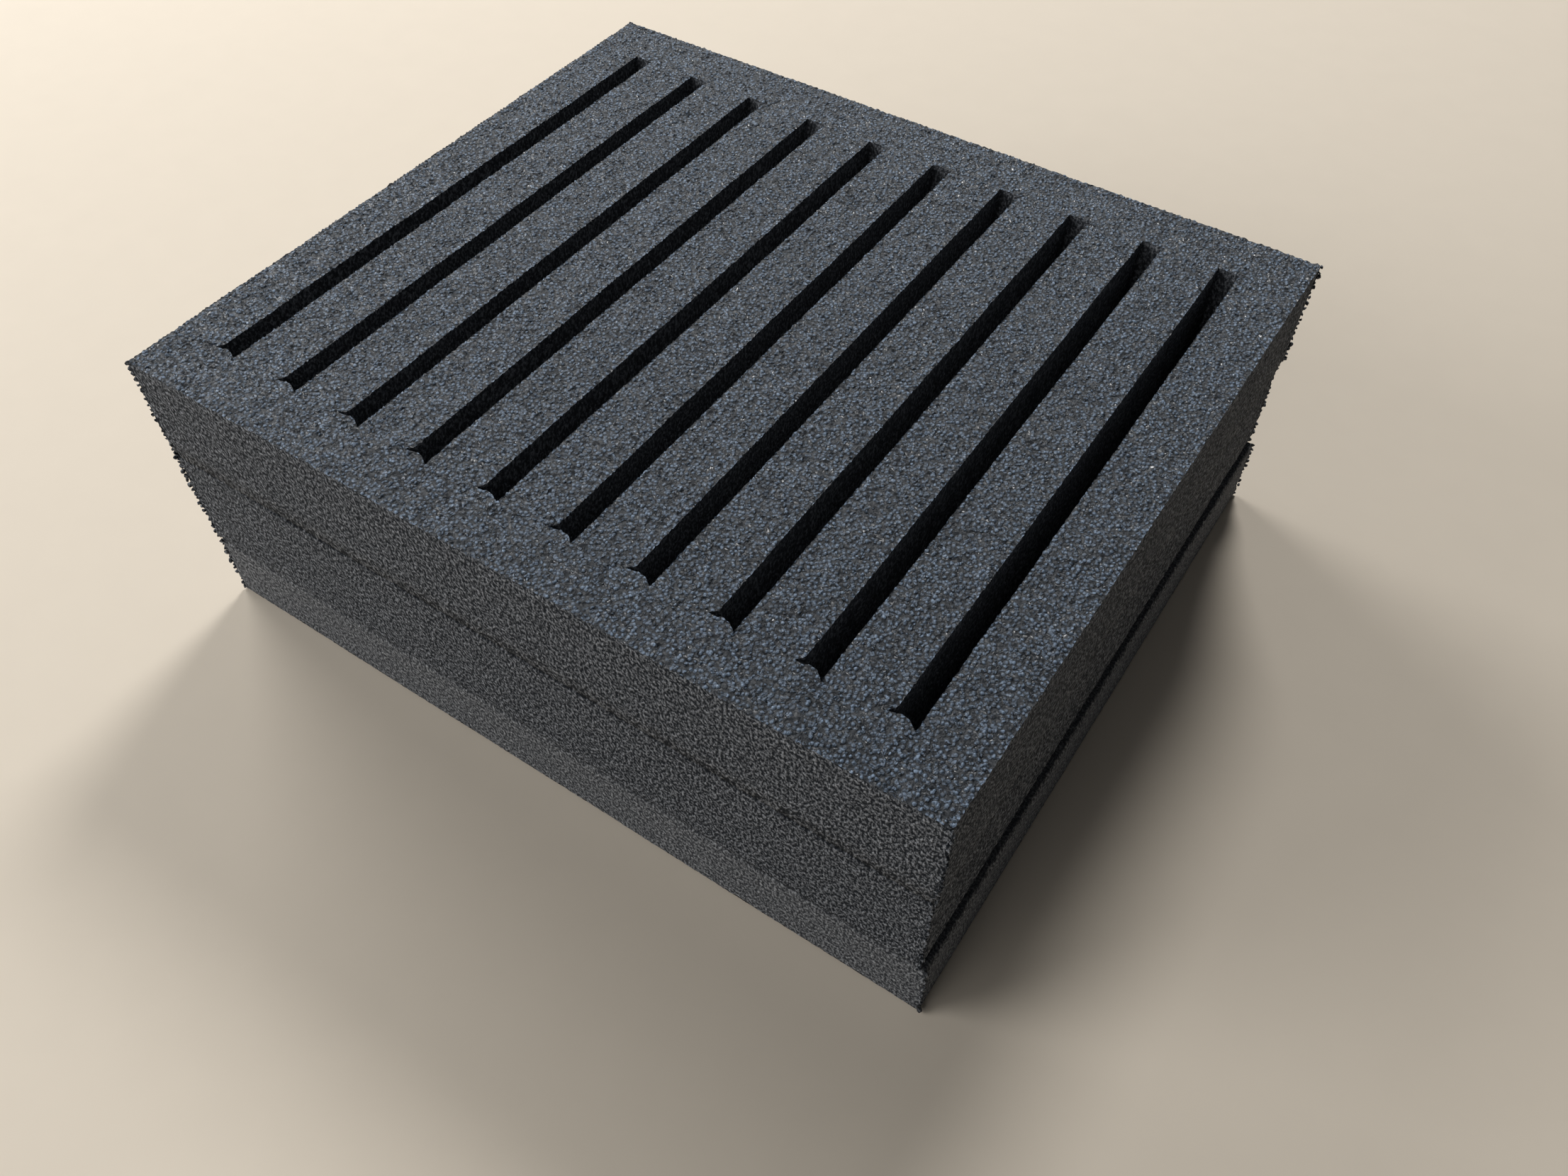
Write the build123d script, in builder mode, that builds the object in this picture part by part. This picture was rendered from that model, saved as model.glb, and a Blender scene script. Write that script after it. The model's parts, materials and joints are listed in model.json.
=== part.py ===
"""Tool drawer foam insert: a block of three foam sheets welded one on another.

A row of deep slots is cut through the upper two sheets and stops on the plain base sheet,
so flat tools and plates stand on edge in it.

Frame: +X runs across the slots, +Y along them and +Z up. The origin is the middle of the
underside. All sizes are in millimetres.
"""

from build123d import *
import os

# The block as a whole.
block_x = 269.0
block_y = 232.0
top_thickness = 38.0
middle_thickness = 38.0
base_thickness = 26.0

# The sheets were welded slightly out of line across the slots, so their ends step.
# Each value is how far that end lies inside the block's overall length.
top_inset_right = 1.0
middle_inset_right = 2.0
base_inset_left = 1.0

# The slots, in one row whose middle lies a little left of the block's.
slot_row_x = -1.25
slot_count = 10
slot_pitch = 25.0
slot_width = 6.4
slot_length = 195.0

# The knife overran at the corners of each slot, and the end between two cuts stands proud.
left_ear = 1.9
left_ear_height = 1.5
front_ear = 1.3
front_ear_width = 2.0
back_ear = 1.5
back_ear_height = 1.3
end_bulge = 0.7

# The weld line between the middle and base sheets is open at the right-hand end.
weld_gap = 1.0
base_lip_radius = 0.8

# Heights of the sheet faces, from the underside.
middle_z = base_thickness
top_z = middle_z + middle_thickness

# Where the slot outline's corners lie, seen from above.
half_width = slot_width / 2
half_length = slot_length / 2
end_middle = (-left_ear + slot_width - front_ear_width) / 2

# One slot seen from above: straight sides, a square back left corner, short pointed
# overcuts at the other corners, and an end that bulges inwards at the front.
with BuildSketch() as slot_outline:
    with BuildLine():
        Polyline(
            (half_width, -half_length - front_ear),
            (half_width, half_length - back_ear_height),
            (half_width + back_ear, half_length),
            (-half_width, half_length),
            (-half_width, -half_length + left_ear_height),
            (-half_width - left_ear, -half_length),
        )
        ThreePointArc(
            (-half_width - left_ear, -half_length),
            (-half_width + end_middle, -half_length + end_bulge),
            (half_width - front_ear_width, -half_length),
        )
        Line(
            (half_width - front_ear_width, -half_length),
            (half_width, -half_length - front_ear),
        )
    make_face()

# The upper sheet, with every slot cut right through it.
top_middle_x = -top_inset_right / 2

with BuildPart() as top_sheet:
    with BuildSketch(Plane.XY.offset(top_z)):
        with Locations((top_middle_x, 0)):
            Rectangle(block_x - top_inset_right, block_y)
        with Locations((slot_row_x, 0)):
            with GridLocations(slot_pitch, 0, slot_count, 1):
                add(slot_outline.sketch, mode=Mode.SUBTRACT)
    extrude(amount=top_thickness)

# The middle sheet carries the same slots on down, and its lower right edge stands open.
middle_middle_x = -middle_inset_right / 2

with BuildPart() as middle_sheet:
    with BuildSketch(Plane.XY.offset(middle_z)):
        with Locations((middle_middle_x, 0)):
            Rectangle(block_x - middle_inset_right, block_y)
        with Locations((slot_row_x, 0)):
            with GridLocations(slot_pitch, 0, slot_count, 1):
                add(slot_outline.sketch, mode=Mode.SUBTRACT)
    extrude(amount=middle_thickness)
    right_face = middle_sheet.faces().sort_by(Axis.X)[-1]
    chamfer(right_face.edges().sort_by(Axis.Z)[0], length=weld_gap)

# The base sheet is plain. It closes the slots and stands out a little on the right.
base_middle_x = base_inset_left / 2

with BuildPart() as base_sheet:
    with BuildSketch():
        with Locations((base_middle_x, 0)):
            Rectangle(block_x - base_inset_left, block_y)
    extrude(amount=base_thickness)
    right_face = base_sheet.faces().sort_by(Axis.X)[-1]
    fillet(right_face.edges().sort_by(Axis.Z)[-1], radius=base_lip_radius)

top_sheet.part.label = "top_sheet"
middle_sheet.part.label = "middle_sheet"
base_sheet.part.label = "base_sheet"

os.makedirs("parts", exist_ok=True)
export_step(top_sheet.part, "parts/top_sheet.step")
export_step(middle_sheet.part, "parts/middle_sheet.step")
export_step(base_sheet.part, "parts/base_sheet.step")
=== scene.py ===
import json
import math
import bmesh
import bpy
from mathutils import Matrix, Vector


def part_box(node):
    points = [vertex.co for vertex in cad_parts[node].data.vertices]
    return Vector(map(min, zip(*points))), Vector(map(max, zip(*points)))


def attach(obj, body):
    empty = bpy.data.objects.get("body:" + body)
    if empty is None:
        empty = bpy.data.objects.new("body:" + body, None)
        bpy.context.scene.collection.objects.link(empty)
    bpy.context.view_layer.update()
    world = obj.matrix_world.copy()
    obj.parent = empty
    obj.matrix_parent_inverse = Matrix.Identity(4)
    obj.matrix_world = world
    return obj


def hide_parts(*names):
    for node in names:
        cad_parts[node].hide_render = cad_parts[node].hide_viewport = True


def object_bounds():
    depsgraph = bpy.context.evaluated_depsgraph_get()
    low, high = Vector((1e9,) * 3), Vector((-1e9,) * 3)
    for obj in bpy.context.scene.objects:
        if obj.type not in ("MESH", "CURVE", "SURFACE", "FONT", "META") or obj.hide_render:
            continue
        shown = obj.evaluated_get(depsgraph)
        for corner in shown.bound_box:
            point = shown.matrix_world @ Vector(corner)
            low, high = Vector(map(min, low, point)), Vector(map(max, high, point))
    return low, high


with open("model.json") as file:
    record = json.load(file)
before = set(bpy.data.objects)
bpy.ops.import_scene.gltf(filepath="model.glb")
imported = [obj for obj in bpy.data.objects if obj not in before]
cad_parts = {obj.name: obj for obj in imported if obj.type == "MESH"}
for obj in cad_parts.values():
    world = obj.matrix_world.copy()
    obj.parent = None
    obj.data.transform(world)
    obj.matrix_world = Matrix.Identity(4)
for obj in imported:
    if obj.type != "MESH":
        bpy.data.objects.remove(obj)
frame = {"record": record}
cadLow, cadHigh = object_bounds()

mm = 0.001
slotBoxes = [opening["box_m"] for opening in frame["record"]["physics"]["openings"]]
print("frame loaded,", len(slotBoxes), "slots")


# helpers for node trees, geometry and shader alike

def plug(tree, value, socket):
    if isinstance(value, bpy.types.NodeSocket):
        tree.links.new(value, socket)
    else:
        socket.default_value = value


def addNode(tree, kind, inputs=None, **settings):
    made = tree.nodes.new(kind)
    for name, value in settings.items():
        setattr(made, name, value)
    for name, value in (inputs or {}).items():
        plug(tree, value, made.inputs[name])
    return made


def maths(tree, operation, *values):
    made = addNode(tree, "ShaderNodeMath", operation=operation)
    for socket, value in zip(made.inputs, values):
        plug(tree, value, socket)
    return made.outputs[0]


def chained(tree, operation, values):
    result = values[0]
    for value in values[1:]:
        result = maths(tree, operation, result, value)
    return result


def times(tree, *values):
    return chained(tree, "MULTIPLY", values)


def plus(tree, *values):
    return chained(tree, "ADD", values)


def minus(tree, first, second):
    return maths(tree, "SUBTRACT", first, second)


def larger(tree, *values):
    return chained(tree, "MAXIMUM", values)


def apart(tree, first, second):
    return maths(tree, "ABSOLUTE", minus(tree, first, second))


def absolute(tree, value):
    return maths(tree, "ABSOLUTE", value)


def isOver(tree, value, limit):
    return maths(tree, "GREATER_THAN", value, limit)


def isUnder(tree, value, limit):
    return maths(tree, "LESS_THAN", value, limit)


def isEqual(tree, value, target):
    return maths(tree, "COMPARE", value, target, 0.5)


def clamped(tree, value, fromMin, fromMax, toMin, toMax):
    made = addNode(tree, "ShaderNodeMapRange", {
        "Value": value, "From Min": fromMin, "From Max": fromMax, "To Min": toMin, "To Max": toMax})
    return made.outputs["Result"]


def joinXYZ(tree, x, y, z):
    return addNode(tree, "ShaderNodeCombineXYZ", {"X": x, "Y": y, "Z": z}).outputs[0]


# materials

def newMaterial(name):
    material = bpy.data.materials.new(name)
    material.use_nodes = True
    shader = material.node_tree.nodes["Principled BSDF"]
    return material, material.node_tree, shader


def objectPlace(tree):
    return addNode(tree, "ShaderNodeTexCoord").outputs["Object"]


def noiseTexture(tree, place, scale, detail):
    noise = addNode(tree, "ShaderNodeTexNoise", {"Vector": place, "Scale": scale, "Detail": detail})
    return noise.outputs["Fac"]


def colourMix(tree, factor, first, second):
    mixed = addNode(tree, "ShaderNodeMix", data_type="RGBA")
    plug(tree, factor, mixed.inputs["Factor"])
    plug(tree, first, mixed.inputs[6])
    plug(tree, second, mixed.inputs[7])
    return mixed.outputs[2]


def addBump(tree, shader, height, strength, distance):
    bump = addNode(tree, "ShaderNodeBump", {"Height": height, "Strength": strength, "Distance": distance})
    tree.links.new(bump.outputs[0], shader.inputs["Normal"])


seamHeights = [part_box(node)[1][2] for node in ("middle_sheet", "base_sheet")]
# the near-black crevice colour is painted shade in the skin's crevices, and also the dark end of each cell's
# random tone
skinLook = {
    "cellTop": (0.178, 0.242, 0.335, 1), "creviceShadeAndDarkTone": (0.004, 0.006, 0.009, 1),
    "cell": 880.0, "grain": 3200.0, "uneven": 0.35, "bump": 1.0, "relief": 0.42 * mm,
    "smallCreviceShade": (0.30, 0.52), "largeCreviceShade": (0.35, 1.0), "largeShadeDepth": 0.75, "tint": 0.45,
    "domeWidth": 0.7, "sunken": 0.5, "shinyCells": (0.55, 0.95),
    "dull": 0.5, "shiny": 0.2, "specular": 0.34, "sheen": 0.06, "sheenTint": (0.70, 0.86, 1.0, 1),
}
cutLook = {
    "cellWall": (0.285, 0.300, 0.325, 1), "openCell": (0.010, 0.012, 0.015, 1),
    "coarse": 1250.0, "fine": 2900.0, "coarseShare": 0.7, "tall": 0.68,
    "contrast": (0.43, 0.68), "curve": 1.3, "bump": 1.0, "relief": 0.3 * mm,
    "roughness": 0.85, "specular": 0.08, "seam": 0.4, "seamWidth": 0.9 * mm, "seamFade": (0.15, 1.0),
}
# painted bounce light: a paler copy of the cut foam for the base sheet, lighter where light from the floor
# falls on it
basePaintedBounceLook = {
    **cutLook, "cellWall": (0.330, 0.342, 0.358, 1), "openCell": (0.028, 0.030, 0.034, 1),
    "contrast": (0.41, 0.70), "bump": 0.8,
}
# painted light inside the slots: the open cells are paler than on the outer cut walls, and the seam line is
# left out
slotPaintedLightLook = {
    **cutLook, "openCell": (0.030, 0.033, 0.038, 1), "seam": 0.0,
}


def skinMaterial(name, look):
    # small round cells on the larger ones of the mesh, whose "hollow" is 0 on top and 1 in a crevice; the
    # crevices of both are painted dark as shade, and each small cell's own tone differs at random
    material, tree, shader = newMaterial(name)
    place = objectPlace(tree)
    grain = noiseTexture(tree, place, look["grain"], 1.0)
    bubbles = addNode(tree, "ShaderNodeTexVoronoi", {"Vector": place, "Scale": look["cell"]}, feature="F1")
    own = addNode(tree, "ShaderNodeSeparateColor", {"Color": bubbles.outputs["Color"]}).outputs
    hollow = addNode(tree, "ShaderNodeAttribute", attribute_name="hollow").outputs["Fac"]
    away = plus(tree, bubbles.outputs["Distance"], times(tree, minus(tree, grain, 0.5), look["uneven"]))
    # painted shade: the colour darkens in the mesh cells' crevices and between the small cells
    large = clamped(tree, hollow, *look["largeCreviceShade"], 0.0, look["largeShadeDepth"])
    small = clamped(tree, away, *look["smallCreviceShade"], 0.0, 1.0)
    tint = clamped(tree, own[0], 0.0, 1.0, 0.0, look["tint"])
    tinted = colourMix(tree, tint, look["cellTop"], look["creviceShadeAndDarkTone"])
    colour = colourMix(tree, larger(tree, large, small), tinted, look["creviceShadeAndDarkTone"])
    plug(tree, colour, shader.inputs["Base Color"])
    roughness = clamped(tree, own[1], *look["shinyCells"], look["dull"], look["shiny"])
    plug(tree, roughness, shader.inputs["Roughness"])
    shader.inputs["Specular IOR Level"].default_value = look["specular"]
    shader.inputs["Sheen Weight"].default_value = look["sheen"]
    shader.inputs["Sheen Tint"].default_value = look["sheenTint"]
    outward = clamped(tree, away, 0.0, look["domeWidth"], 0.0, 1.0)
    dome = minus(tree, 1.0, maths(tree, "POWER", outward, 2.0))
    height = plus(tree, dome, times(tree, hollow, -look["sunken"]))
    addBump(tree, shader, height, look["bump"], look["relief"])
    return material


def darkSeams(tree, place, coarse, colour, look):
    # a faint broken line where two sheets are fused
    z = addNode(tree, "ShaderNodeSeparateXYZ", {0: place}).outputs["Z"]
    nearest = maths(tree, "MINIMUM", *[apart(tree, z, seam) for seam in seamHeights])
    off = maths(tree, "DIVIDE", nearest, look["seamWidth"])
    broken = plus(tree, off, times(tree, minus(tree, coarse, 0.5), 2.0))
    dark = clamped(tree, broken, *look["seamFade"], look["seam"], 0.0)
    return colourMix(tree, dark, colour, look["openCell"])


def cutMaterial(name, look):
    # cells cut open: dark hollows between torn, paler walls, drawn out a little in height
    material, tree, shader = newMaterial(name)
    place = objectPlace(tree)
    drawn = addNode(tree, "ShaderNodeVectorMath", {
        0: place, 1: (1.0, 1.0, look["tall"])}, operation="MULTIPLY").outputs[0]
    coarse = noiseTexture(tree, drawn, look["coarse"], 1.0)
    fine = noiseTexture(tree, drawn, look["fine"], 1.0)
    share = look["coarseShare"]
    height = plus(tree, times(tree, coarse, share), times(tree, fine, 1.0 - share))
    tone = clamped(tree, height, *look["contrast"], 0.0, 1.0)
    colour = colourMix(tree, maths(tree, "POWER", tone, look["curve"]), look["openCell"], look["cellWall"])
    if look["seam"] > 0:
        colour = darkSeams(tree, place, coarse, colour, look)
    plug(tree, colour, shader.inputs["Base Color"])
    shader.inputs["Roughness"].default_value = look["roughness"]
    shader.inputs["Specular IOR Level"].default_value = look["specular"]
    addBump(tree, shader, tone, look["bump"], look["relief"])
    return material


skinFoam = skinMaterial("skinFoam", skinLook)
cutFoam = cutMaterial("cutFoam", cutLook)
# the base sheet's cut foam is painted paler, standing in for bounce light from the floor
basePaintedBounceFoam = cutMaterial("basePaintedBounceFoam", basePaintedBounceLook)
slotPaintedLightFoam = cutMaterial("slotPaintedLightFoam", slotPaintedLightLook)
print("materials made")


# the foam sheet as a Geometry Nodes tree

sheetInputs = {
    "Left": "Float", "Right": "Float", "Front": "Float", "Back": "Float",
    "Face Height": "Float", "Far Height": "Float", "Welded Face": "Bool",
    "Slot Count": "Int", "Slot Pitch": "Float", "Slot Length": "Float", "Slot Middle": "Float",
    "Cells Per Pitch": "Int", "Cells Per Slot": "Int", "Cells Along Slot": "Int",
    "Half Columns": "Int", "Half Rows": "Int", "Outer Rows": "Int", "Slot Rows": "Int",
    "Pebble Height": "Float", "Rest Level": "Float", "Cell Jitter": "Float", "Cell Drift": "Float",
    "Edge Rag": "Float", "Corner Tear": "Float", "Wave": "Float", "Ear Length": "Float",
    "Seam Groove": "Float", "Weld Gap": "Float", "Seed": "Int",
    "Skin": "Material", "Cut": "Material", "Slot Wall": "Material",
}
cells = {
    "burst": 0.03, "bridged": 0.05,  # share of the cells, and of the crevices
    "level": (0.75, 1.15), "uneven": (-0.15, 0.10),
    "ragScale": 1400.0, "waveScale": 30.0, "driftScale": 120.0, "wallSpread": 1.35,
}
ears = {
    "uneven": (0.7, 1.05), "reach": 5 * mm, "leftRise": 2.2 * mm, "backRise": 1.4 * mm,
    "backShare": 0.8, "frontShare": 0.95, "frontWidth": 2.2 * mm, "frontCurve": 1.6,
    "bulge": 0.8 * mm, "bulgeOffset": 1.0 * mm, "bulgeInset": 0.9 * mm,
}
hair = 0.05 * mm


def named(tree, name):
    return addNode(tree, "GeometryNodeInputNamedAttribute", {"Name": name}, data_type="FLOAT").outputs[0]


def stored(tree, geometry, name, value, domain="POINT"):
    return addNode(tree, "GeometryNodeStoreNamedAttribute", {
        "Geometry": geometry, "Name": name, "Value": value}, data_type="FLOAT", domain=domain).outputs[0]


def marked(tree, geometry, number):
    return stored(tree, geometry, "finish", float(number), "FACE")


def moved(tree, geometry, offset):
    return addNode(tree, "GeometryNodeSetPosition", {"Geometry": geometry, "Offset": offset}).outputs[0]


def placeXYZ(tree):
    place = addNode(tree, "GeometryNodeInputPosition").outputs[0]
    return addNode(tree, "ShaderNodeSeparateXYZ", {0: place}).outputs


def randomValue(tree, low, high, seed, offset):
    made = addNode(tree, "FunctionNodeRandomValue", data_type="FLOAT")
    plug(tree, low, made.inputs[2])
    plug(tree, high, made.inputs[3])
    plug(tree, plus(tree, seed, float(offset)), made.inputs["Seed"])
    return made.outputs[1]


def noiseShift(tree, scale, seed, amount):
    # a random push that changes smoothly from place to place
    place = addNode(tree, "GeometryNodeInputPosition").outputs[0]
    noise = addNode(tree, "ShaderNodeTexNoise", {
        "Vector": place, "W": times(tree, seed, 3.7), "Scale": scale, "Detail": 1.0}, noise_dimensions="4D")
    middle = addNode(tree, "ShaderNodeVectorMath", {
        0: noise.outputs["Color"], 1: (0.5, 0.5, 0.5)}, operation="SUBTRACT").outputs[0]
    return addNode(tree, "ShaderNodeVectorMath", {0: middle, "Scale": amount}, operation="SCALE").outputs[0]


def newTree(name, inputs):
    tree = bpy.data.node_groups.new(name, "GeometryNodeTree")
    tree.interface.new_socket("Geometry", in_out="INPUT", socket_type="NodeSocketGeometry")
    for label, kind in inputs.items():
        tree.interface.new_socket(label, in_out="INPUT", socket_type="NodeSocket" + kind)
    tree.interface.new_socket("Geometry", in_out="OUTPUT", socket_type="NodeSocketGeometry")
    return tree, tree.nodes.new("NodeGroupInput").outputs


def sheetTree():
    tree, given = newTree("foamSheet", sheetInputs)
    sizes = gridSizes(tree, given)
    lattice = cellLattice(tree, given, sizes)
    outline = rimCurve(tree, lattice, None)
    outer = isOuter(tree, given, sizes)
    outerWall = wall(tree, given, rimCurve(tree, lattice, outer), given["Outer Rows"])
    slotWall = wall(tree, given, rimCurve(tree, lattice, minus(tree, 1.0, outer)), given["Slot Rows"])
    near = addNode(tree, "GeometryNodeSwitch", {
        "Switch": given["Welded Face"],
        "False": marked(tree, pebbles(tree, given, sizes, lattice), 1),
        "True": cap(tree, outline, given["Face Height"])}, input_type="GEOMETRY").outputs[0]
    whole = addNode(tree, "GeometryNodeJoinGeometry")
    for part in (near, outerWall, marked(tree, slotWall, 2), cap(tree, outline, given["Far Height"])):
        tree.links.new(part, whole.inputs[0])
    closed = addNode(tree, "GeometryNodeMergeByDistance", {"Geometry": whole.outputs[0], "Distance": 1e-5})
    shaped = roughen(tree, given, sizes, closed.outputs[0])
    smooth = addNode(tree, "GeometryNodeSetShadeSmooth", {"Geometry": shaped})
    result = addNode(tree, "GeometryNodeRealizeInstances", {"Geometry": smooth.outputs[0]}).outputs[0]
    for number, name in enumerate(("Cut", "Skin", "Slot Wall")):
        result = addNode(tree, "GeometryNodeSetMaterial", {
            "Geometry": result, "Material": given[name],
            "Selection": isEqual(tree, named(tree, "finish"), float(number))}).outputs[0]
    tree.links.new(result, tree.nodes.new("NodeGroupOutput").inputs[0])
    return tree


def gridSizes(tree, given):
    # column and row spacing, and how far the even grid reaches each way
    column = maths(tree, "DIVIDE", given["Slot Pitch"], given["Cells Per Pitch"])
    row = maths(tree, "DIVIDE", given["Slot Length"], given["Cells Along Slot"])
    return {
        "column": column, "row": row,
        "halfX": times(tree, column, given["Half Columns"]),
        "halfY": times(tree, row, given["Half Rows"]),
        "slotHalf": times(tree, column, given["Cells Per Slot"], 0.5),
        "endHalf": times(tree, given["Slot Length"], 0.5),
        "fieldHalf": times(tree, given["Slot Pitch"], given["Slot Count"], 0.5),
    }


def slotPlace(tree, given, x):
    # number of the slot nearest to x, and x as measured from that slot's middle
    along = plus(tree, maths(tree, "DIVIDE", x, given["Slot Pitch"]), times(tree, given["Slot Count"], 0.5))
    number = maths(tree, "FLOOR", along)
    across = times(tree, minus(tree, minus(tree, along, number), 0.5), given["Slot Pitch"])
    return number, across


def cellLattice(tree, given, sizes):
    # an even grid with the slots taken out, then drawn out to the sheet's own edges
    def count(name):
        return plus(tree, times(tree, given[name], 2.0), 1.0)

    grid = addNode(tree, "GeometryNodeMeshGrid", {
        "Size X": times(tree, sizes["halfX"], 2.0), "Size Y": times(tree, sizes["halfY"], 2.0),
        "Vertices X": count("Half Columns"), "Vertices Y": count("Half Rows")}).outputs[0]
    x, y, z = placeXYZ(tree)
    across = absolute(tree, slotPlace(tree, given, x)[1])
    inSlot = times(tree, isUnder(tree, across, sizes["slotHalf"]),
                   isUnder(tree, absolute(tree, y), sizes["endHalf"]))
    inField = isUnder(tree, absolute(tree, x), sizes["fieldHalf"])
    for name, value, half, step in (("cellColumn", x, "halfX", "column"), ("cellRow", y, "halfY", "row")):
        steps = maths(tree, "DIVIDE", plus(tree, value, sizes[half]), sizes[step])
        grid = stored(tree, grid, name, maths(tree, "ROUND", steps))
    grid = addNode(tree, "GeometryNodeDeleteGeometry", {
        "Geometry": grid, "Selection": times(tree, inSlot, inField)}, domain="FACE").outputs[0]

    def drawn(value, start, edge, limit):
        # nothing up to start, then growing so that the last line of cells lands on the limit
        return clamped(tree, value, start, edge, 0.0, minus(tree, limit, edge))

    def opposite(value):
        return times(tree, value, -1.0)

    xShift = plus(tree, drawn(x, sizes["fieldHalf"], sizes["halfX"], given["Right"]),
                  drawn(x, opposite(sizes["fieldHalf"]), opposite(sizes["halfX"]), given["Left"]))
    yShift = plus(tree, drawn(y, sizes["endHalf"], sizes["halfY"], given["Back"]),
                  drawn(y, opposite(sizes["endHalf"]), opposite(sizes["halfY"]), given["Front"]))
    grid = moved(tree, grid, joinXYZ(tree, xShift, yShift, given["Face Height"]))
    # a point is on the rim when any edge at it is
    grid = stored(tree, grid, "rimEdge", onRim(tree), "EDGE")
    return stored(tree, grid, "rim", isOver(tree, named(tree, "rimEdge"), 0.1))


def onRim(tree):
    # true at an edge with a face on one side only
    return isEqual(tree, addNode(tree, "GeometryNodeInputMeshEdgeNeighbors").outputs[0], 1.0)


def isOuter(tree, given, sizes):
    # true round the outside of the sheet, false at the slots
    x, y, z = placeXYZ(tree)
    pastEnd = isOver(tree, absolute(tree, y), plus(tree, sizes["endHalf"], mm))
    lastSlot = minus(tree, sizes["fieldHalf"], times(tree, given["Slot Pitch"], 0.25))
    return larger(tree, pastEnd, isOver(tree, absolute(tree, x), lastSlot))


def rimCurve(tree, lattice, where):
    chosen = onRim(tree) if where is None else times(tree, onRim(tree), where)
    return addNode(tree, "GeometryNodeMeshToCurve", {"Mesh": lattice, "Selection": chosen}).outputs[0]


def cap(tree, outline, height):
    # flat triangles inside the rim, at one height
    filled = addNode(tree, "GeometryNodeFillCurve", {"Curve": outline}, mode="TRIANGLES").outputs[0]
    return moved(tree, filled, joinXYZ(tree, 0.0, 0.0, minus(tree, height, placeXYZ(tree)[2])))


def wall(tree, given, curve, rows):
    # the rim drawn down to the far face in rows that start close together
    wire = addNode(tree, "GeometryNodeCurveToMesh", {"Curve": curve}).outputs[0]
    wire = stored(tree, wire, "lowEdge", 1.0, "EDGE")
    start = tree.nodes.new("GeometryNodeRepeatInput")
    end = tree.nodes.new("GeometryNodeRepeatOutput")
    start.pair_with_output(end)
    plug(tree, rows, start.inputs["Iterations"])
    tree.links.new(wire, start.inputs["Geometry"])

    def reached(number):
        # share of the wall's height that lies above row number
        return maths(tree, "POWER", maths(tree, "DIVIDE", number, rows), cells["wallSpread"])

    number = start.outputs["Iteration"]
    share = minus(tree, reached(plus(tree, number, 1.0)), reached(number))
    drop = times(tree, share, minus(tree, given["Far Height"], given["Face Height"]))
    extruded = addNode(tree, "GeometryNodeExtrudeMesh", {
        "Mesh": start.outputs["Geometry"], "Selection": named(tree, "lowEdge"),
        "Offset": joinXYZ(tree, 0.0, 0.0, drop)}, mode="EDGES")
    lower = stored(tree, extruded.outputs["Mesh"], "lowEdge", extruded.outputs["Top"], "EDGE")
    tree.links.new(lower, end.inputs["Geometry"])
    return end.outputs["Geometry"]


def pebbles(tree, given, sizes, lattice):
    # every third point of the lattice is the top of a cell, and the six round it are its crevice
    column, row = named(tree, "cellColumn"), named(tree, "cellRow")
    halfRow = maths(tree, "FLOOR", times(tree, row, 0.5))
    isOdd = maths(tree, "MODULO", row, 2.0)
    third = maths(tree, "MODULO", plus(tree, minus(tree, column, halfRow), times(tree, row, 2.0)), 3.0)
    isTop = isEqual(tree, third, 0.0)
    seed = given["Seed"]
    # a few cells have burst and a few crevices are filled, so the pattern never repeats
    burst = isUnder(tree, randomValue(tree, 0.0, 1.0, seed, 1), cells["burst"])
    bridged = isUnder(tree, randomValue(tree, 0.0, 1.0, seed, 2), cells["bridged"])
    high = plus(tree, times(tree, isTop, minus(tree, 1.0, burst)),
                times(tree, minus(tree, 1.0, isTop), bridged))
    level = times(tree, high, randomValue(tree, *cells["level"], seed, 3))
    level = plus(tree, level, randomValue(tree, *cells["uneven"], seed, 4))
    lattice = stored(tree, lattice, "hollow", minus(tree, 1.0, level))
    lattice = stored(tree, lattice, "level", level)
    # odd rows sit half a cell along, so that the cells pack as hexagons
    free = minus(tree, 1.0, named(tree, "rim"))
    side = times(tree, minus(tree, isOdd, 0.5), times(tree, sizes["column"], 0.5))
    lattice = moved(tree, lattice, joinXYZ(tree, times(tree, side, free), 0.0, 0.0))
    triangles = addNode(tree, "GeometryNodeTriangulate", {"Mesh": lattice}, quad_method="SHORTEST_DIAGONAL")
    return triangles.outputs[0]


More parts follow.
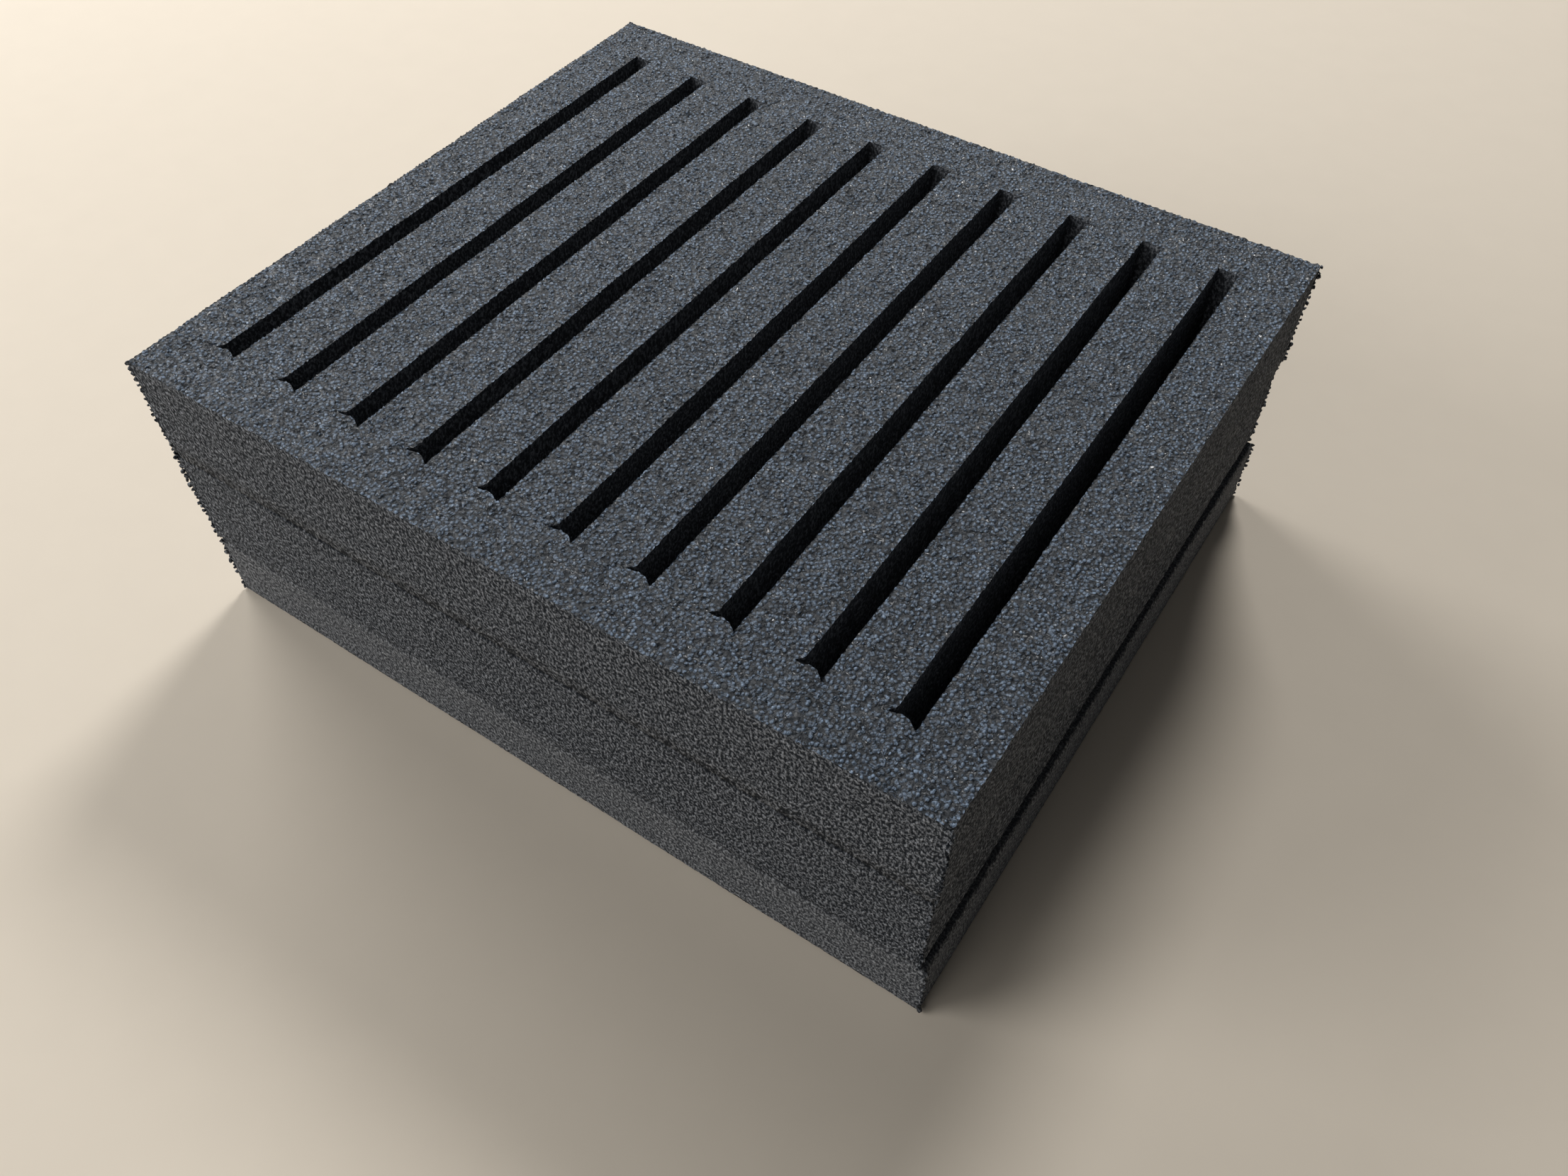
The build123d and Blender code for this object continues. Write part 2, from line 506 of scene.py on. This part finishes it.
def earShift(tree, given, sizes):
    # the knife's overcuts at the slots' corners, and the front end that stands proud
    x, y, z = placeXYZ(tree)
    number, across = slotPlace(tree, given, x)
    fromFront = plus(tree, y, sizes["endHalf"])
    fromBack = minus(tree, sizes["endHalf"], y)
    half, reach = sizes["slotHalf"], ears["reach"]
    unlike = addNode(tree, "ShaderNodeTexWhiteNoise", {"W": number}, noise_dimensions="1D").outputs[0]
    ear = times(tree, given["Ear Length"], clamped(tree, unlike, 0.0, 1.0, *ears["uneven"]))

    def fading(value, start, end):
        return clamped(tree, value, start, end, 1.0, 0.0)

    leftGap = minus(tree, times(tree, half, -1.0), across)
    rightGap = minus(tree, across, half)
    leftEar = times(tree, ear, -1.0, fading(leftGap, 0.0, reach), isOver(tree, leftGap, -hair),
                    fading(fromFront, 0.0, ears["leftRise"]), isOver(tree, fromFront, -hair))
    backEar = times(tree, ear, ears["backShare"], fading(rightGap, 0.0, reach), isOver(tree, rightGap, -hair),
                    fading(fromBack, 0.0, ears["backRise"]), isOver(tree, fromBack, -hair))
    below = times(tree, clamped(tree, fromFront, -reach, 0.0, 0.0, 1.0), isUnder(tree, fromFront, hair))
    taper = clamped(tree, rightGap, -ears["frontWidth"], 0.0, 0.0, 1.0)
    taper = maths(tree, "POWER", taper, ears["frontCurve"])
    frontEar = times(tree, ear, -ears["frontShare"], taper, isUnder(tree, rightGap, hair), below)
    fromCrown = absolute(tree, plus(tree, across, ears["bulgeOffset"]))
    share = maths(tree, "DIVIDE", fromCrown, minus(tree, half, ears["bulgeInset"]))
    bell = minus(tree, 1.0, maths(tree, "POWER", share, 2.0))
    bulge = times(tree, ears["bulge"], larger(tree, bell, 0.0), below)
    inField = isUnder(tree, absolute(tree, x), sizes["fieldHalf"])
    return joinXYZ(tree, times(tree, plus(tree, leftEar, backEar), inField),
                   times(tree, plus(tree, frontEar, bulge), inField), 0.0)


def atCorner(tree, given):
    # true along the sheet's upright corner edges
    x, y, z = placeXYZ(tree)
    pastX = larger(tree, isOver(tree, x, minus(tree, given["Right"], mm)),
                   isUnder(tree, x, plus(tree, given["Left"], mm)))
    pastY = larger(tree, isOver(tree, y, minus(tree, given["Back"], mm)),
                   isUnder(tree, y, plus(tree, given["Front"], mm)))
    return times(tree, pastX, pastY)


def seamShift(tree, given):
    # the melted edges draw in a little at a seam, and the weld gapes at its right-hand end
    x, y, z = placeXYZ(tree)
    near = 2 * hair
    atFar = isUnder(tree, apart(tree, z, given["Far Height"]), near)
    atFace = isUnder(tree, apart(tree, z, given["Face Height"]), near)
    atSeam = larger(tree, atFar, times(tree, atFace, given["Welded Face"]))
    share = maths(tree, "DIVIDE", times(tree, atSeam, given["Seam Groove"]), given["Right"])
    atRight = isOver(tree, x, minus(tree, given["Right"], near))
    inwards = plus(tree, times(tree, x, share), times(tree, atFar, atRight, given["Weld Gap"]))
    return joinXYZ(tree, times(tree, inwards, -1.0), times(tree, y, share, -1.0), 0.0)


def roughen(tree, given, sizes, geometry):
    seed = given["Seed"]
    geometry = stored(tree, geometry, "corner", atCorner(tree, given))
    geometry = moved(tree, geometry, seamShift(tree, given))
    geometry = moved(tree, geometry, earShift(tree, given, sizes))
    # torn edges and cut walls, with more torn away along the upright corners
    rag = plus(tree, given["Edge Rag"], times(tree, named(tree, "corner"), given["Corner Tear"]))
    geometry = moved(tree, geometry, noiseShift(tree, cells["ragScale"], seed, rag))
    geometry = moved(tree, geometry, noiseShift(tree, cells["waveScale"], seed, given["Wave"]))
    # cells of the skin, which keep off the sheet's edges and bunch up here and there
    isSkin = isEqual(tree, named(tree, "finish"), 1.0)
    offRim = times(tree, isSkin, minus(tree, 1.0, named(tree, "rim")))
    eased = addNode(tree, "GeometryNodeBlurAttribute", {"Iterations": 3}, data_type="FLOAT")
    plug(tree, offRim, eased.inputs[0])
    geometry = stored(tree, geometry, "ease", times(tree, eased.outputs[0], offRim))
    drift = times(tree, given["Cell Drift"], named(tree, "ease"))
    geometry = moved(tree, geometry, noiseShift(tree, cells["driftScale"], seed, drift))
    jitter = times(tree, given["Cell Jitter"], offRim)
    upward = maths(tree, "SIGN", minus(tree, given["Face Height"], given["Far Height"]))
    level = minus(tree, named(tree, "level"), given["Rest Level"])
    lift = times(tree, level, given["Pebble Height"], upward, isSkin)
    sideways = [times(tree, randomValue(tree, -1.0, 1.0, seed, number), jitter) for number in (5, 6)]
    geometry = moved(tree, geometry, joinXYZ(tree, sideways[0], sideways[1], lift))
    # nothing hangs below the floor, so the underside's cells are pressed flat where they touch it
    sunk = larger(tree, times(tree, placeXYZ(tree)[2], -1.0), 0.0)
    return moved(tree, geometry, joinXYZ(tree, given["Slot Middle"], 0.0, sunk))


# a tree's result as a plain mesh

spareAttributes = ("cellColumn", "cellRow", "rimEdge", "rim", "level", "lowEdge", "finish", "corner", "ease")


def finishedMesh(holder, name):
    # closed, with its faces outwards and its edges sharp between two materials
    graph = bpy.context.evaluated_depsgraph_get()
    mesh = bpy.data.meshes.new_from_object(holder.evaluated_get(graph), depsgraph=graph)
    shape = bmesh.new()
    shape.from_mesh(mesh)
    bmesh.ops.dissolve_degenerate(shape, edges=shape.edges, dist=0.01 * mm)
    bmesh.ops.recalc_face_normals(shape, faces=shape.faces)
    for edge in shape.edges:
        materials = {face.material_index for face in edge.link_faces}
        edge.smooth = len(materials) == 1
    shape.to_mesh(mesh)
    shape.free()
    mesh.name = name
    for spare in spareAttributes:
        if spare in mesh.attributes:
            mesh.attributes.remove(mesh.attributes[spare])
    piece = bpy.data.objects.new(name, mesh)
    bpy.context.scene.collection.objects.link(piece)
    bpy.data.objects.remove(holder)  # its modifier goes with it
    return piece


def treeMesh(tree, name, settings):
    holder = bpy.data.objects.new(name + "Holder", bpy.data.meshes.new(name + "Seed"))
    bpy.context.scene.collection.objects.link(holder)
    modifier = holder.modifiers.new(tree.name, "NODES")
    modifier.node_group = tree
    for item in tree.interface.items_tree:
        if item.in_out == "INPUT" and item.name in settings:
            modifier[item.identifier] = settings[item.name]
    piece = finishedMesh(holder, name)
    print(name, "has", sum(len(face.vertices) - 2 for face in piece.data.polygons), "triangles")
    return piece


# the three sheets

slotRow = {
    "Slot Count": len(slotBoxes),
    "Slot Pitch": slotBoxes[1][0][0] - slotBoxes[0][0][0],
    "Slot Middle": (slotBoxes[0][0][0] + slotBoxes[-1][1][0]) / 2,
    "Slot Length": 195 * mm,
    "Cells Per Pitch": 30, "Cells Per Slot": 8, "Cells Along Slot": 270,
    "Ear Length": 1.9 * mm, "Seam Groove": 0.35 * mm, "Weld Gap": 0.0, "Rest Level": 0.5,
}
topSheet = {
    "Outer Rows": 6, "Slot Rows": 1, "Welded Face": False, "Pebble Height": 0.55 * mm,
    "Cell Jitter": 0.30 * mm, "Cell Drift": 1.6 * mm, "Edge Rag": 0.85 * mm, "Corner Tear": 1.6 * mm,
    "Wave": 0.5 * mm, "Seed": 11,
}
middleSheet = {
    "Outer Rows": 30, "Slot Rows": 2, "Welded Face": True, "Pebble Height": 0.0,
    "Cell Jitter": 0.0, "Cell Drift": 0.0, "Edge Rag": 0.85 * mm, "Corner Tear": 1.6 * mm,
    "Wave": 0.5 * mm, "Weld Gap": 0.6 * mm, "Seed": 23,
}
baseSheet = {
    "Outer Rows": 20, "Slot Rows": 1, "Welded Face": False, "Pebble Height": 0.55 * mm,
    "Cell Jitter": 0.34 * mm, "Cell Drift": 1.6 * mm, "Edge Rag": 0.45 * mm, "Corner Tear": 1.0 * mm,
    "Wave": 0.3 * mm, "Weld Gap": 0.3 * mm, "Rest Level": 1.1, "Seed": 37,
    "Slot Count": 0, "Cells Per Pitch": 24, "Cells Along Slot": 216, "Cut": basePaintedBounceFoam,
}


def sheetEdges(node, values, upward):
    # where the sheet lies round the slots' middle, and how many cells fit each way
    low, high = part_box(node)
    column = values["Slot Pitch"] / values["Cells Per Pitch"]
    row = values["Slot Length"] / values["Cells Along Slot"]
    middle = values["Slot Middle"]
    return {
        "Left": low[0] - middle, "Right": high[0] - middle, "Front": low[1], "Back": high[1],
        "Face Height": high[2] if upward else low[2],
        "Far Height": low[2] if upward else high[2],
        "Half Columns": round((high[0] - low[0]) / 2 / column),
        "Half Rows": round((high[1] - low[1]) / 2 / row),
    }


def makeSheet(tree, name, node, values, upward=True):
    settings = {**slotRow, "Skin": skinFoam, "Cut": cutFoam, "Slot Wall": slotPaintedLightFoam, **values}
    settings.update(sheetEdges(node, settings, upward))
    return treeMesh(tree, name, settings)


foamSheet = sheetTree()
sheets = {
    "top_sheet": makeSheet(foamSheet, "topFoam", "top_sheet", topSheet),
    "middle_sheet": makeSheet(foamSheet, "middleFoam", "middle_sheet", middleSheet),
    "base_sheet": makeSheet(foamSheet, "baseFoam", "base_sheet", baseSheet, upward=False),
}
for node, piece in sheets.items():
    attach(piece, "root")
    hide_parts(node)
print("sheets made")


# torn cells that cling to the upright cut corners, as a tree of its own

burrInputs = {
    "Left": "Float", "Right": "Float", "Front": "Float", "Back": "Float", "Low": "Float", "High": "Float",
    "Count": "Int", "Smallest": "Float", "Largest": "Float", "Spread": "Float", "Seed": "Int",
    "Foam": "Material",
}
burrs = {
    "gap": 1.9 * mm, "fromSeam": 1.0 * mm, "tornScale": 1500.0,
    "Smallest": 0.30 * mm, "Largest": 0.95 * mm, "Spread": 0.35 * mm,
}


def burrTree():
    tree, given = newTree("cornerBurrs", burrInputs)
    seed = given["Seed"]
    uprights = addNode(tree, "GeometryNodeJoinGeometry")
    for x in (given["Left"], given["Right"]):
        for y in (given["Front"], given["Back"]):
            line = addNode(tree, "GeometryNodeMeshLine", {
                "Count": given["Count"], "Start Location": joinXYZ(tree, x, y, given["Low"]),
                "Offset": joinXYZ(tree, x, y, given["High"])}, mode="END_POINTS").outputs[0]
            tree.links.new(line, uprights.inputs[0])
    spread = times(tree, given["Spread"], -1.0)
    offsets = [randomValue(tree, spread, given["Spread"], seed, number) for number in (1, 2, 3)]
    loose = moved(tree, uprights.outputs[0], joinXYZ(tree, *offsets))
    lump = addNode(tree, "GeometryNodeMeshIcoSphere", {"Radius": 1.0, "Subdivisions": 2}).outputs[0]
    turns = [randomValue(tree, 0.0, math.tau, seed, number) for number in (4, 5, 6)]
    widths = [randomValue(tree, given["Smallest"], given["Largest"], seed, number) for number in (7, 8, 9)]
    placed = addNode(tree, "GeometryNodeInstanceOnPoints", {
        "Points": loose, "Instance": lump, "Rotation": joinXYZ(tree, *turns),
        "Scale": joinXYZ(tree, *widths)}).outputs[0]
    real = addNode(tree, "GeometryNodeRealizeInstances", {"Geometry": placed}).outputs[0]
    torn = moved(tree, real, noiseShift(tree, burrs["tornScale"], seed, given["Largest"]))
    result = addNode(tree, "GeometryNodeSetMaterial", {
        "Geometry": torn, "Material": given["Foam"]}).outputs[0]
    tree.links.new(result, tree.nodes.new("NodeGroupOutput").inputs[0])
    return tree


def makeBurrs(tree, name, node, foam, seed):
    low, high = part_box(node)
    bottom, top = low[2] + burrs["fromSeam"], high[2] - burrs["fromSeam"] / 2
    piece = treeMesh(tree, name, {
        **burrs, "Left": low[0], "Right": high[0], "Front": low[1], "Back": high[1],
        "Low": bottom, "High": top, "Count": round((top - bottom) / burrs["gap"]),
        "Seed": seed, "Foam": foam})
    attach(piece, "root")


cornerBurrs = burrTree()
makeBurrs(cornerBurrs, "topBurrs", "top_sheet", cutFoam, 5)
makeBurrs(cornerBurrs, "baseBurrs", "base_sheet", basePaintedBounceFoam, 8)
makeBurrs(cornerBurrs, "middleBurrs", "middle_sheet", cutFoam, 3)
print("burrs made")


# floor, light and camera

studio = {
    "floorColour": (0.70, 0.620, 0.512, 1), "floorSize": 6.0, "floorDrop": 0.1 * mm,
    "mottle": 60.0, "mottleLift": 1.04,
    "worldLevel": 0.02, "backdropLevel": 0.7, "backdropColour": (0.95, 0.97, 1.0, 1),
    "lamps": {
        # place, width and power
        "key": ((-0.45, 1.65, 1.75), 0.72, 34.0),
        "leftSide": ((-1.5, 0.5, 0.9), 1.0, 17.5),
        "leftFront": ((-1.3, -1.2, 0.8), 1.2, 19.0),
        "frontFill": ((-0.2, -1.6, 0.8), 1.2, 6.0),
    },
    "lampTarget": (0, 0, 0.05),
    "cameraPlace": (0.1760, -0.2441, 0.3450), "cameraWay": (-0.3486, 0.5221, -0.7784), "lens": 29.37,
}


def makeFloor():
    half, height = studio["floorSize"] / 2, cadLow[2] - studio["floorDrop"]
    mesh = bpy.data.meshes.new("floor")
    corners = [(x * half, y * half, height) for x, y in ((-1, -1), (1, -1), (1, 1), (-1, 1))]
    mesh.from_pydata(corners, [], [(0, 1, 2, 3)])
    floor = bpy.data.objects.new("floor", mesh)
    bpy.context.scene.collection.objects.link(floor)
    material, tree, shader = newMaterial("floorPaper")
    mottle = noiseTexture(tree, objectPlace(tree), studio["mottle"], 5.0)
    paler = tuple(min(1.0, value * studio["mottleLift"]) for value in studio["floorColour"])
    plug(tree, colourMix(tree, mottle, studio["floorColour"], paler), shader.inputs["Base Color"])
    shader.inputs["Roughness"].default_value = 0.9
    mesh.materials.append(material)


def makeLamp(name, place, size, power):
    data = bpy.data.lights.new(name, "AREA")
    data.shape = "DISK"
    data.size = size
    data.energy = power
    lamp = bpy.data.objects.new(name, data)
    lamp.location = place
    way = Vector(studio["lampTarget"]) - Vector(place)
    lamp.rotation_euler = way.to_track_quat("-Z", "Y").to_euler()
    bpy.context.scene.collection.objects.link(lamp)


def makeCamera():
    data = bpy.data.cameras.new("camera")
    data.lens = studio["lens"]
    data.sensor_width = 36
    data.clip_start = 0.01
    camera = bpy.data.objects.new("camera", data)
    camera.location = studio["cameraPlace"]
    camera.rotation_euler = Vector(studio["cameraWay"]).to_track_quat("-Z", "Y").to_euler()
    bpy.context.scene.collection.objects.link(camera)
    bpy.context.scene.camera = camera


def makeWorld():
    # a faint even light, and a pale backdrop for the camera and for reflections
    world = bpy.data.worlds.new("studio")
    world.use_nodes = True
    tree = world.node_tree
    rays = addNode(tree, "ShaderNodeLightPath").outputs
    seen = larger(tree, rays["Is Camera Ray"], rays["Is Glossy Ray"], rays["Is Transmission Ray"])
    sky = tree.nodes["Background"]
    sky.inputs["Color"].default_value = studio["backdropColour"]
    strength = clamped(tree, seen, 0.0, 1.0, studio["worldLevel"], studio["backdropLevel"])
    plug(tree, strength, sky.inputs["Strength"])
    bpy.context.scene.world = world


makeFloor()
for lampName, (place, size, power) in studio["lamps"].items():
    makeLamp(lampName, place, size, power)
makeWorld()
makeCamera()
bpy.context.scene.view_settings.view_transform = "Standard"
print("studio made")
